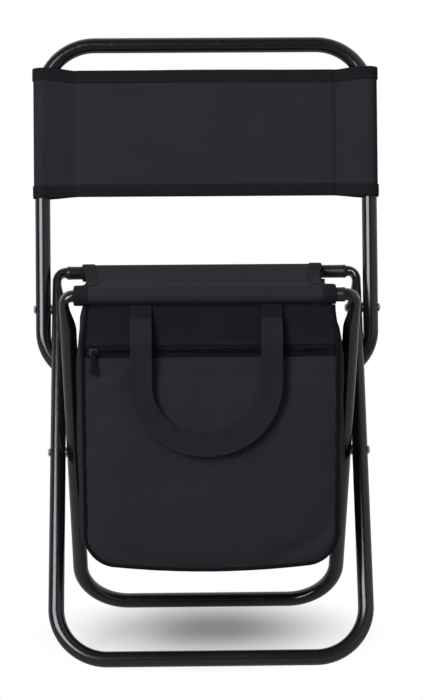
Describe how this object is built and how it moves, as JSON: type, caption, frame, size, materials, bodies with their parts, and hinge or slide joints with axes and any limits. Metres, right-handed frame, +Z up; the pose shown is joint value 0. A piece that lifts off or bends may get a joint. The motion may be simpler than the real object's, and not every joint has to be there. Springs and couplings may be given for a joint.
{
  "type": "folding cooler stool",
  "caption": "Folding stool with crossed tube legs, a swinging cloth backrest, a sling seat and a zipped insulated bag with a carry strap under the seat.",
  "frame": {"origin": "on the floor, under the middle of the opened stool's bounding box", "axes": "+Z up, -Y is the front with the zip and the carry handle, +X is the right side seen from the front"},
  "size_m": [0.368, 0.2448, 0.6195],
  "materials": {
    "black_paint": "gloss black enamel on round steel tube",
    "bare_steel": "dull bare steel",
    "black_plastic": "black moulded plastic",
    "grey_nylon": "dark nylon",
    "charcoal_cloth": "woven polyester, charcoal",
    "black_webbing": "black webbing and binding tape",
    "white_foam": "closed-cell foam sheet",
    "silver_lining": "metallised film",
    "dark_metal": "dark lacquered zip metal"
  },
  "bodies": {
    "outer_frame": {"outer_leg_loop": "black_paint", "outer_loop_spigot": "bare_steel", "rear_bar_sleeve": "black_plastic", "leg_rivet_left": "bare_steel", "leg_rivet_right": "bare_steel", "leg_washer_left": "grey_nylon", "leg_washer_right": "grey_nylon", "back_rivet_left": "bare_steel", "back_rivet_right": "bare_steel", "back_washer_left": "grey_nylon", "back_washer_right": "grey_nylon"},
    "inner_frame": {"inner_leg_loop": "black_paint", "inner_loop_spigot": "bare_steel", "front_bar_sleeve": "black_plastic", "seat_panel": "charcoal_cloth", "seat_tape_left": "black_webbing", "seat_tape_right": "black_webbing"},
    "backrest": {"backrest_loop": "black_paint", "backrest_spigot": "bare_steel", "backrest_panel": "charcoal_cloth", "backrest_tape_bottom": "black_webbing", "backrest_tape_top": "black_webbing"},
    "bag": {"bag_header": "charcoal_cloth", "bag_front_panel": "charcoal_cloth", "bag_back_panel": "charcoal_cloth", "bag_gusset": "charcoal_cloth", "bag_foam": "white_foam", "bag_lining": "silver_lining", "piping_front": "black_webbing", "piping_rear": "black_webbing", "zip_tape_upper": "black_webbing", "zip_tape_lower": "black_webbing", "zip_row_upper": "black_plastic", "zip_row_lower": "black_plastic", "zip_stop_left": "dark_metal", "zip_stop_right": "dark_metal", "handle_patch_left": "black_webbing", "handle_patch_right": "black_webbing"},
    "slider": {"zip_slider": "dark_metal"},
    "pull": {"zip_pull": "dark_metal"},
    "handle": {"carry_handle": "black_webbing"}
  },
  "joints": [
    {"name": "leg_fold", "type": "hinge", "parent": "outer_frame", "child": "inner_frame", "pos_m": [0, -0.01419, 0.19795], "axis": [-1, 0, 0], "range_deg": [0, 49.5], "deforming": ["seat_panel", "seat_tape_left", "seat_tape_right", "bag_gusset", "bag_back_panel", "bag_foam", "bag_lining", "piping_rear"]},
    {"name": "back_fold", "type": "hinge", "parent": "outer_frame", "child": "backrest", "pos_m": [0, 0.05872, 0.33656], "axis": [1, 0, 0], "range_deg": [0, 148.6]},
    {"name": "bag_hang", "type": "hinge", "parent": "inner_frame", "child": "bag", "pos_m": [0, -0.10619, 0.37285], "axis": [1, 0, 0], "range_deg": [0, 27.8]},
    {"name": "zip_travel", "type": "slide", "parent": "bag", "child": "slider", "axis": [1, 0, 0], "range_m": [0, 0.2274]},
    {"name": "zip_pull_swing", "type": "hinge", "parent": "slider", "child": "pull", "pos_m": [-0.1137, -0.1157, 0.31885], "axis": [-1, 0, 0], "range_deg": [0, 150]},
    {"name": "handle_lift", "type": "hinge", "parent": "bag", "child": "handle", "pos_m": [-0.004, -0.1151, 0.35185], "axis": [-1, 0, 0], "range_deg": [0, 150]}
  ],
  "couplings": [
    {"joint": "back_fold", "follows": "leg_fold", "ratio": 3},
    {"joint": "bag_hang", "follows": "leg_fold", "ratio": 0.5605}
  ]
}
